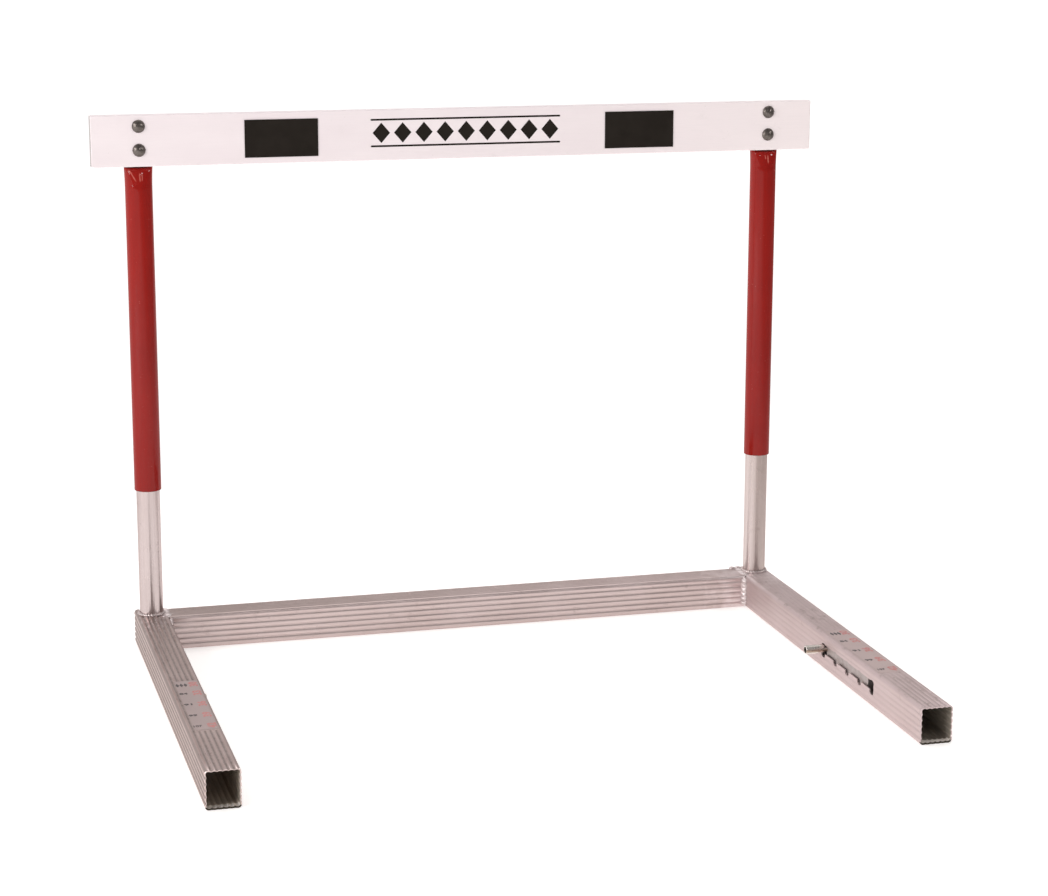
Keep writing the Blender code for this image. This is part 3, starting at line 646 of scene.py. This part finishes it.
# ---- fluted tubes --------------------------------------------------
FLUTES = 5                   # on each face
FLUTE_HALF = 0.0026
FLUTE_DEPTH = 0.0009
TUBE_WALL = 0.0018
TUBE_CORNER = 0.0050
TUBE_CHAMFER = 0.0003        # on the rims of the open ends
FACE_STEPS = 14              # points across one flute and rib
CORNER_STEPS = 8
TUBE_STEPS = 24              # lengths along the tube
TOP_FACE = 1                 # number of the section's upward face
BOTTOM_FACE = 3
CROSS_SHARE = 0.8            # the cross tube's flutes are this deep, against FLUTE_DEPTH
GROUND_SHARE = 0.3           # the flutes that the ground has worn
FAINT_SHARE = 0.40           # the right leg's flutes behind its mouth
MOUTH_KEPT = 0.010           # how far from the right leg's mouth its flutes keep their depth
MOUTH_FADE = 0.15            # the length over which they would fade out behind that
LABEL_MARGIN = 0.0030        # along the leg, between the label and whole flutes
# The label film's edges, from the leg's middle
LABEL_SPAN = {"left": (-0.0122, 0.0176), "right": (-0.0157, 0.0165)}


def flute_depth(along, pitch):
    """How deep the surface lies at a place across a face, and how far it is into a groove (0 to 1)."""
    nearest = round(along / pitch)
    nearest = max(-(FLUTES - 1) / 2, min((FLUTES - 1) / 2, nearest))
    off = abs(along - nearest * pitch)
    if off >= FLUTE_HALF:
        return 0.0, 0.0
    groove = 0.5 * (1 + math.cos(math.pi * off / FLUTE_HALF))
    return FLUTE_DEPTH * groove, groove


def fluted_section(width, height, inset):
    """Points of the section, anticlockwise, each with how its flute sinks it, its face and its groove share.

    The inset moves the points inwards."""
    points = []
    for side in range(4):
        across, reach = (height, width) if side % 2 == 0 else (width, height)
        pitch = (across - 2 * TUBE_CORNER) / FLUTES
        turn = Matrix.Rotation(math.radians(90 * side), 2)
        outwards = turn @ Vector((1, 0))
        half = across / 2 - TUBE_CORNER
        count = FLUTES * FACE_STEPS
        for i in range(count + 1):
            along = -half + 2 * half * i / count
            depth, groove = flute_depth(along, pitch)
            points.append((turn @ Vector((reach / 2 - inset, along)), outwards * depth, side, groove))
        radius = TUBE_CORNER - inset
        for i in range(1, CORNER_STEPS):
            angle = math.radians(90 * i / CORNER_STEPS)
            corner = Vector((reach / 2 - TUBE_CORNER + radius * math.cos(angle),
                             half + radius * math.sin(angle)))
            points.append((turn @ corner, Vector((0, 0)), side, 0.0))
    return points


def fluted_tube(name, low, high, along_y, mat, node, share_at, extra=()):
    """An open tube between two corners of a box, running along Y or X.

    share_at(station, face, across) is the share of their full depth that the flutes have there. extra adds
    rings of vertices along the tube."""
    length = (high.y - low.y) if along_y else (high.x - low.x)
    width = (high.x - low.x) if along_y else (high.y - low.y)
    height = high.z - low.z
    centre = (low + high) / 2
    middle = centre.y if along_y else centre.x
    bm = bmesh.new()
    groove_layer = bm.verts.layers.float.new("groove")
    inner_layer = bm.verts.layers.float.new("inner")
    first, last = middle - length / 2, middle + length / 2
    between = [first + length * i / TUBE_STEPS for i in range(1, TUBE_STEPS)] + list(extra)
    stations = [first, first + TUBE_CHAMFER] + sorted(between) + [last - TUBE_CHAMFER, last]
    shells = []
    for inset, sign in ((0.0, 1), (TUBE_WALL, -1)):
        section = fluted_section(width, height, inset)
        rings = []
        for index, station in enumerate(stations):
            rim = index in (0, len(stations) - 1)
            lip = TUBE_CHAMFER * sign if rim else 0.0
            ring = []
            for point, sunk, face, groove in section:
                share = share_at(station, face, point.x) if inset == 0.0 else 1.0
                place = point - sunk * share
                place = place * (1 - lip / place.length)
                if along_y:
                    vert = bm.verts.new((centre.x + place.x, station, centre.z + place.y))
                else:
                    vert = bm.verts.new((station, centre.y + place.x, centre.z + place.y))
                vert[groove_layer] = groove * share if inset == 0.0 else 0.0
                vert[inner_layer] = 1.0 if inset and not rim else 0.0
                ring.append(vert)
            rings.append(ring)
        for near, far in zip(rings, rings[1:]):
            bridge(bm, near, far)
        shells.append(rings)
    for end in (0, -1):
        bridge(bm, shells[0][end], shells[1][end])
    bmesh.ops.recalc_face_normals(bm, faces=bm.faces)
    return finished(name, bm, mat, "base", "fluted_aluminium", node, sharp=40.0)


# The slot in each leg's inner face; floors and tops are heights above the ground
NOTCH_PITCH = 0.0432
NOTCHES = 5
NOTCH_HALF = 0.0065
NOTCH_FLOOR = 0.0168
NOTCH_ROUND = 0.0042         # radius of a notch's lower corners
CHANNEL_FLOOR = 0.0230
CHANNEL_TOP = 0.0360
CHANNEL_END_TOP = CHANNEL_TOP - 0.001
SHOULDER = 0.0018            # radius between the channel's floor and a notch
ARCH_HALF = 0.0050
ARCH_TOP = 0.0372
CUTTER_HALF = 0.006          # how far the slot's cutter reaches to each side of the face


def arc(centre, radius, start, end, steps):
    """Points on an arc; the angles are in degrees."""
    points = []
    for i in range(steps + 1):
        angle = math.radians(start + (end - start) * i / steps)
        points.append((centre[0] + radius * math.cos(angle), centre[1] + radius * math.sin(angle)))
    return points


def slot_outline(first_y):
    """The slot in (y, z): a channel with a rounded notch below it at each setting, and an arch above."""
    low = []
    high = []
    rise = ARCH_TOP - CHANNEL_TOP
    radius = (ARCH_HALF ** 2 + rise ** 2) / (2 * rise)
    spread = math.degrees(math.asin(ARCH_HALF / radius))
    for i in range(NOTCHES):
        y = first_y - i * NOTCH_PITCH
        wall_top = CHANNEL_FLOOR - SHOULDER
        flat = NOTCH_HALF - NOTCH_ROUND
        if i > 0:
            low += arc((y + NOTCH_HALF + SHOULDER, wall_top), SHOULDER, 90, 180, 6)
        low += arc((y + flat, NOTCH_FLOOR + NOTCH_ROUND), NOTCH_ROUND, 0, -90, 8)
        low += arc((y - flat, NOTCH_FLOOR + NOTCH_ROUND), NOTCH_ROUND, -90, -180, 8)
        if i < NOTCHES - 1:
            low += arc((y - NOTCH_HALF - SHOULDER, wall_top), SHOULDER, 0, 90, 6)
        high += arc((y, ARCH_TOP - radius), radius, 90 - spread, 90 + spread, 10)
    rear = [(first_y + NOTCH_HALF, CHANNEL_END_TOP)]
    front = [(first_y - (NOTCHES - 1) * NOTCH_PITCH - NOTCH_HALF, CHANNEL_END_TOP)]
    return low + front + high[::-1] + rear


def slot_cutter(face_x, first_y):
    bm = bmesh.new()
    loops = []
    for x in (face_x - CUTTER_HALF, face_x + CUTTER_HALF):
        loops.append([bm.verts.new((x, y, z)) for y, z in slot_outline(first_y)])
    bridge(bm, *loops)
    bm.faces.new(loops[0])
    bm.faces.new(loops[1][::-1])
    bmesh.ops.recalc_face_normals(bm, faces=bm.faces)
    return mesh_object("slot_cutter", bm)


def legs_and_cross_tube():
    low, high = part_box("cross_tube")
    fluted_tube("cross_tube_fluted", low, high, False, CROSS_METAL, "cross_tube",
                lambda station, face, across: CROSS_SHARE)
    for side_name, side in SIDES:
        low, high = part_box(side_name + "_leg")
        label_low, label_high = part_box(side_name + "_setting_label")
        edges = (label_low.y - LABEL_MARGIN, label_low.y, label_high.y, label_high.y + LABEL_MARGIN)

        def share_at(station, face, across):
            """No flutes under the label, worn ones on the ground; the right leg's fade behind its mouth."""
            share = 1.0
            if side > 0:
                share = max(FAINT_SHARE, min(1.0, 1.0 - (station - low.y - MOUTH_KEPT) / MOUTH_FADE))
            if face == TOP_FACE and edges[0] < station < edges[3] and across > LABEL_SPAN[side_name][0]:
                share = 0.0
            if face == BOTTOM_FACE:
                share *= GROUND_SHARE
            return share

        tube = fluted_tube(side_name + "_leg_fluted", low, high, True, LEG_METAL[side_name],
                           side_name + "_leg", share_at, edges)
        pin_low, pin_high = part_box(side_name + "_lock_pin")
        inner_face = high.x if side < 0 else low.x
        cut_away(tube, slot_cutter(inner_face, (pin_low.y + pin_high.y) / 2))


# ---- red sleeves ---------------------------------------------------
POST_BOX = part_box("left_lower_post")
SLEEVE_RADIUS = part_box("left_upper_post")[1].y - (POST_BOX[0].y + POST_BOX[1].y) / 2
PRESS_START = 0.660          # the dent's lower point
PRESS_END = 0.6898           # the front is flat from here up
PRESS_FLAT = 0.0010          # how far ahead of the axis the flat front lies
PRESS_SPREAD = 0.05          # how much wider the tube gets where it is pressed
PRESS_CROWN = 0.0027         # how far the dent's middle stands out where it is widest
PRESS_BLEND = 0.0012         # how softly the dent meets the round tube
SLEEVE_WALL = 0.00165
SLEEVE_LIP = 0.0004          # chamfer on the rims
SLEEVE_AROUND = 144
DENT_STEPS = 48
HOLE_R = 0.0046
BOLT_HOLE_R = 0.0043
BUTTON_Z = 0.600             # the highest button hole
HEIGHT_STEP = 0.0762
HEIGHT_STEPS = 4


def sleeve_point(angle, radius, inset, z):
    """A point of the sleeve's skin: round, with a V-shaped dent that opens into a flat front at the board."""
    share = min(1.0, max(0.0, (z - PRESS_START) / (PRESS_END - PRESS_START)))
    edge = 0.83 * share ** 0.6 + 0.17 * share ** 12 if share > 0 else 0.0
    wide = 1 + PRESS_SPREAD * share * share
    x = radius * wide * math.cos(angle)
    y = radius * math.sin(angle)
    chord = max(PRESS_FLAT, radius * math.sqrt(max(0.0, 1 - edge * edge))) - inset
    if 0 < share < 1:
        chord += PRESS_CROWN * edge * max(0.0, 1 - (x / (edge * radius)) ** 2) * min(1.0, 12 * (1 - share))
    if share > 0 and y < 0:
        blend = PRESS_BLEND * min(1.0, 5 * share)
        gap = -y - chord
        y = -(-y - 0.5 * (gap + math.sqrt(gap * gap + 4 * blend * blend)))
        y = min(y, 0.0)
    return x, y


# Painted highlights along the dent's creases: each end's distance across, in radii, and below the dent's top;
# then its strength
CREASE_HIGHLIGHTS = {"left": ((-0.78, 0.0015, -0.25, 0.0200, 0.75), (0.00, 0.0070, 0.02, 0.0200, 0.80),
                    (0.20, 0.0085, 0.17, 0.0190, 0.60)),
           "right": ((0.08, 0.0058, 0.10, 0.0190, 1.00), (-0.13, 0.0058, -0.10, 0.0130, 0.60))}
CREASE_HALF = 0.0010
CREASE_RISE = 0.0002


def crease_highlight_at(side_name, across, drop):
    """1 on one of the dent's creases, where a highlight is painted pale into the enamel; across is in radii.
    """
    most = 0.0
    for top_across, top_drop, low_across, low_drop, strength in CREASE_HIGHLIGHTS[side_name]:
        share = (drop - top_drop) / (low_drop - top_drop)
        if 0 < share < 1:
            off = abs(across - top_across - (low_across - top_across) * share) * SLEEVE_RADIUS
            fade = min(1.0, 4 * share, 4 * (1 - share))
            most = max(most, strength * fade * max(0.0, 1 - off / CREASE_HALF))
    return most


def sleeve(side_name):
    """A red upper post, with its button holes at the back and its bolt holes right through."""
    low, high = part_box(side_name + "_upper_post")
    centre_x = (low.x + high.x) / 2
    centre_y = high.y - SLEEVE_RADIUS
    radius = SLEEVE_RADIUS
    lip = SLEEVE_LIP
    plain = [low.z, low.z + lip, low.z + 0.004, 0.30, 0.40, 0.50, 0.60, 0.64, PRESS_START - 0.004]
    dent = [PRESS_START + (PRESS_END - PRESS_START) * i / DENT_STEPS for i in range(DENT_STEPS + 1)]
    heights = plain + dent + [0.700, 0.730, high.z - lip, high.z]
    bm = bmesh.new()
    highlight_layer = bm.verts.layers.float.new("highlighted_crease")
    shells = []
    for inset in (0.0, SLEEVE_WALL):
        rings = []
        for index, z in enumerate(heights):
            rim = index in (0, len(heights) - 1)
            drop = lip * (1 if inset == 0.0 else -1) if rim else 0.0
            ring = []
            for k in range(SLEEVE_AROUND):
                angle = 2 * math.pi * (k + 0.5) / SLEEVE_AROUND
                x, y = sleeve_point(angle, radius - inset - drop, inset, z)
                # Along the dent's creases the skin rises a little and a highlight is painted.
                highlighted_crease = crease_highlight_at(side_name, x / radius, PRESS_END - z) if inset == 0.0 and y < 0 else 0.0
                vert = bm.verts.new((centre_x + x, centre_y + y - CREASE_RISE * highlighted_crease, z))
                vert[highlight_layer] = highlighted_crease
                ring.append(vert)
            rings.append(ring)
        for first, second in zip(rings, rings[1:]):
            bridge(bm, first, second)
        shells.append(rings)
    for end in (0, -1):
        bridge(bm, shells[0][end], shells[1][end])
    bmesh.ops.recalc_face_normals(bm, faces=bm.faces)
    obj = finished(side_name + "_sleeve", bm, RED, "upper_frame", "red_enamel", side_name + "_upper_post")
    holes = bmesh.new()
    spots = [(BUTTON_Z - i * HEIGHT_STEP, HOLE_R, radius / 2, radius * 2) for i in range(HEIGHT_STEPS + 1)]
    for level in ("upper", "lower"):
        bolt_low, bolt_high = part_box(f"{side_name}_{level}_bolt")
        spots.append(((bolt_low.z + bolt_high.z) / 2, BOLT_HOLE_R, -radius * 2, radius * 2))
    for z, hole, start, end in spots:
        turn = Matrix.Rotation(math.pi / 2, 4, "X")
        where = Matrix.Translation((centre_x, centre_y + (start + end) / 2, z)) @ turn
        bmesh.ops.create_cone(holes, cap_ends=True, segments=32, radius1=hole, radius2=hole,
                              depth=end - start, matrix=where)
    cut_away(obj, mesh_object("sleeve_holes", holes))


# ---- printed labels and the board's ornament -----------------------
FIGURES = (("30", None), ("33", "84"), ("36", "91"), ("39", "99"), ("42", "107"))
FIGURE_ROWS = (0.0, 0.0375, 0.0825, 0.1270, 0.1700)      # ahead of the rearmost notch
INK_T = 0.00006
FILM_T = 0.00015
FILM_CORNER = 0.0012
# The inches' and the centimetres' places across the leg, from its middle
FIGURE_PLACES = {"left": (0.0112, -0.0064), "right": (0.0086, -0.0076)}
INCHES_SIZE = (0.0115, 0.0195)       # a figure's height and width
CENTIMETRES_SIZE = (0.0075, 0.0110)
HEAD_LOZENGES = 3
HEAD_PITCH = 0.0053
HEAD_X = -0.0032             # from the centimetres' middle to the first lozenge


def printed(name, text, height, width, place, turn, mat):
    """A figure as a thin flat mesh, fitted to a height and width, face up."""
    curve = bpy.data.curves.new(name, "FONT")
    curve.body = text
    curve.align_x = "CENTER"
    curve.align_y = "CENTER"
    curve.extrude = 0.5
    curve.resolution_u = 4
    curve.offset = 0.04
    source = linked(name + "_text", curve)
    mesh = evaluated_mesh(source)
    bpy.data.objects.remove(source, do_unlink=True)
    co = np.array([v.co for v in mesh.vertices])
    low, high = co.min(0), co.max(0)
    scale = Vector((width / (high[0] - low[0]), height / (high[1] - low[1]), INK_T))
    middle = Vector(((low[0] + high[0]) / 2, (low[1] + high[1]) / 2, 0))
    mesh.transform(Matrix.Diagonal((*scale, 1)) @ Matrix.Translation(-middle))
    mesh.transform(Matrix.Translation(place) @ turn)
    dressed(linked(name, mesh), mat, "base", "setting_label")


def plate(name, outline, thickness, turn, place, mat, body, slot, *stands_for):
    """A thin flat piece with an outline of (u, v) points."""
    bm = bmesh.new()
    loops = [[bm.verts.new((u, v, w)) for u, v in outline] for w in (0.0, thickness)]
    bridge(bm, *loops)
    bm.faces.new(loops[0][::-1])
    bm.faces.new(loops[1])
    bmesh.ops.recalc_face_normals(bm, faces=bm.faces)
    bm.transform(Matrix.Translation(place) @ turn)
    finished(name, bm, mat, body, slot, *stands_for)


def setting_scale(side_name):
    """The printed film on a leg: three lozenges, then the heights in inches and centimetres."""
    low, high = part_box(side_name + "_setting_label")
    pin_low, pin_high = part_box(side_name + "_lock_pin")
    first_y = (pin_low.y + pin_high.y) / 2
    middle_x = (low.x + high.x) / 2
    film_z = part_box(side_name + "_leg")[1].z + 0.00002
    left, right = LABEL_SPAN[side_name]
    half_w, half_l, corner = (right - left) / 2, (high.y - low.y) / 2, FILM_CORNER
    outline = []
    for quarter, (u, v) in enumerate(((1, 1), (-1, 1), (-1, -1), (1, -1))):
        centre = (u * (half_w - corner), v * (half_l - corner))
        outline += arc(centre, corner, 90 * quarter, 90 * quarter + 90, 6)
    plate(side_name + "_label_film", outline, FILM_T, Matrix.Identity(4),
          (middle_x + (left + right) / 2, (low.y + high.y) / 2, film_z), LABEL_FILM[side_name], "base",
          "setting_label", side_name + "_setting_label")
    top = film_z + FILM_T + INK_T
    inches_x, centimetres_x = FIGURE_PLACES[side_name]
    across = Matrix.Rotation(math.radians(90), 4, "Z")
    for (inches, centimetres), drop in zip(FIGURES, FIGURE_ROWS):
        y = first_y - drop
        printed(f"{side_name}_inches_{inches}", inches, *INCHES_SIZE, (middle_x + inches_x, y, top), across,
                RED_INK)
        if centimetres:
            printed(f"{side_name}_centimetres_{centimetres}", centimetres, *CENTIMETRES_SIZE,
                    (middle_x + centimetres_x, y, top), Matrix.Identity(4), BLACK_INK)
    for i in range(HEAD_LOZENGES):
        place = (middle_x + centimetres_x + HEAD_X + i * HEAD_PITCH, first_y - 0.002, top - INK_T / 2)
        plate(f"{side_name}_scale_head_{i + 1}", lozenge(0.0025, 0.0075), INK_T, Matrix.Identity(4), place,
              BLACK_INK, "base", "setting_label")


def lozenge(half_width, half_height):
    return [(half_width, 0), (0, half_height), (-half_width, 0), (0, -half_height)]


ORNAMENT_HALF = 0.138
ORNAMENT_X = 0.004
ORNAMENT_DROP = 0.0325       # from the board's top to the ornament's middle
ORNAMENT_T = 0.00012
RULE_OFFSET = 0.0185
RULE_HALF = 0.0013
LOZENGES = 9


def board_ornament():
    """A plain ornament in the middle of the board: a row of upright lozenges between two rules."""
    low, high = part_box("gate_board")
    middle_z = high.z - ORNAMENT_DROP
    turn = Matrix.Rotation(math.radians(90), 4, "X")

    def stuck(name, outline, x, z):
        plate(name, outline, ORNAMENT_T, turn, (x, low.y, z), BLACK_FILM, "upper_frame", "black_panel")

    end = ORNAMENT_HALF - RULE_HALF
    rule = arc((end, 0), RULE_HALF, -90, 90, 8) + arc((-end, 0), RULE_HALF, 90, 270, 8)
    for name, offset in (("upper_rule", RULE_OFFSET), ("lower_rule", -RULE_OFFSET)):
        stuck("board_" + name, rule, ORNAMENT_X, middle_z + offset)
    gap = 2 * ORNAMENT_HALF / LOZENGES
    for i in range(LOZENGES):
        x = ORNAMENT_X + (i - (LOZENGES - 1) / 2) * gap
        stuck(f"board_lozenge_{i + 1}", lozenge(0.0125, 0.0142), x, middle_z)


# ---- floor and light -----------------------------------------------
FLOOR_HALF = 60.0
AIM = Vector((0.0, 0.1, 0.35))       # the lamps point here
# Each lamp's name, place, width and height, and power
LAMPS = (("left_softbox", (-3.0, -1.3, 1.6), (1.2, 1.5), 50.0),
         ("right_softbox", (2.4, -1.5, 2.0), (0.4, 0.6), 15.0),
         ("small_lamp", (0.15, -1.6, 1.62), (0.14, 0.24), 2.5),
         ("overhead", (0.0, 0.9, 3.0), (3.0, 1.6), 22.0))


def studio():
    """The floor, a soft sky that is brightest behind the hurdle and to its left, and four soft lamps."""
    bm = bmesh.new()
    bmesh.ops.create_grid(bm, x_segments=8, y_segments=8, size=FLOOR_HALF)
    floor = mesh_object("floor", bm)
    floor.location = (0, 0, cad_box[0].z)
    floor.data.materials.append(floor_paper())

    world = bpy.data.worlds.new("studio")
    bpy.context.scene.world = world
    world.use_nodes = True
    tree = world.node_tree
    split = tree.nodes.new("ShaderNodeSeparateXYZ")
    tree.links.new(tree.nodes.new("ShaderNodeTexCoord").outputs["Generated"], split.inputs["Vector"])

    def ramp(axis, low, high, to_low, to_high):
        made = tree.nodes.new("ShaderNodeMapRange")
        made.interpolation_type = "SMOOTHSTEP"
        tree.links.new(split.outputs[axis], made.inputs["Value"])
        for index, value in enumerate((low, high, to_low, to_high), 1):
            made.inputs[index].default_value = value
        return made.outputs["Result"]

    strength = tree.nodes.new("ShaderNodeMath")
    strength.operation = "MULTIPLY"
    tree.links.new(ramp("Y", -0.6, 0.9, 0.38, 0.93), strength.inputs[0])
    tree.links.new(ramp("X", -0.6, 1.0, 1.02, 0.62), strength.inputs[1])
    background = tree.nodes["Background"]
    background.inputs["Color"].default_value = (1.0, 0.975, 0.97, 1.0)
    tree.links.new(strength.outputs["Value"], background.inputs["Strength"])

    for name, place, size, power in LAMPS:
        light = bpy.data.lights.new(name, "AREA")
        light.shape = "RECTANGLE"
        light.size, light.size_y = size
        light.energy = power
        light.color = (1.0, 0.972, 0.965)
        obj = linked(name, light)
        obj.location = place
        obj.rotation_euler = (AIM - obj.location).to_track_quat("-Z", "Y").to_euler()
        obj.visible_camera = False


# ---- the scene -----------------------------------------------------
make_camera()
studio()
bpy.context.scene.view_settings.view_transform = "Standard"

paint(WHITE, "gate_board")
for label, sign in SIDES:
    paint(POST_METAL[label], label + "_lower_post")
    paint(BLACK_FILM, label + "_black_panel")
    paint(BRIGHT_PLATE, label + "_snap_button")
    paint(PIN_STEEL, label + "_lock_pin")
    paint(WEIGHT_STEEL, label + "_weight_bar")
    paint(SPRING_STEEL, label + "_button_spring", label + "_pin_spring")
    for level in ("upper", "lower"):
        paint(BOLT_ZINC, f"{label}_{level}_bolt")
        paint(NUT_ZINC, f"{label}_{level}_washer", f"{label}_{level}_nut")
    weld_beads(label, sign)
    sleeve(label)
    setting_scale(label)
legs_and_cross_tube()
board_ornament()
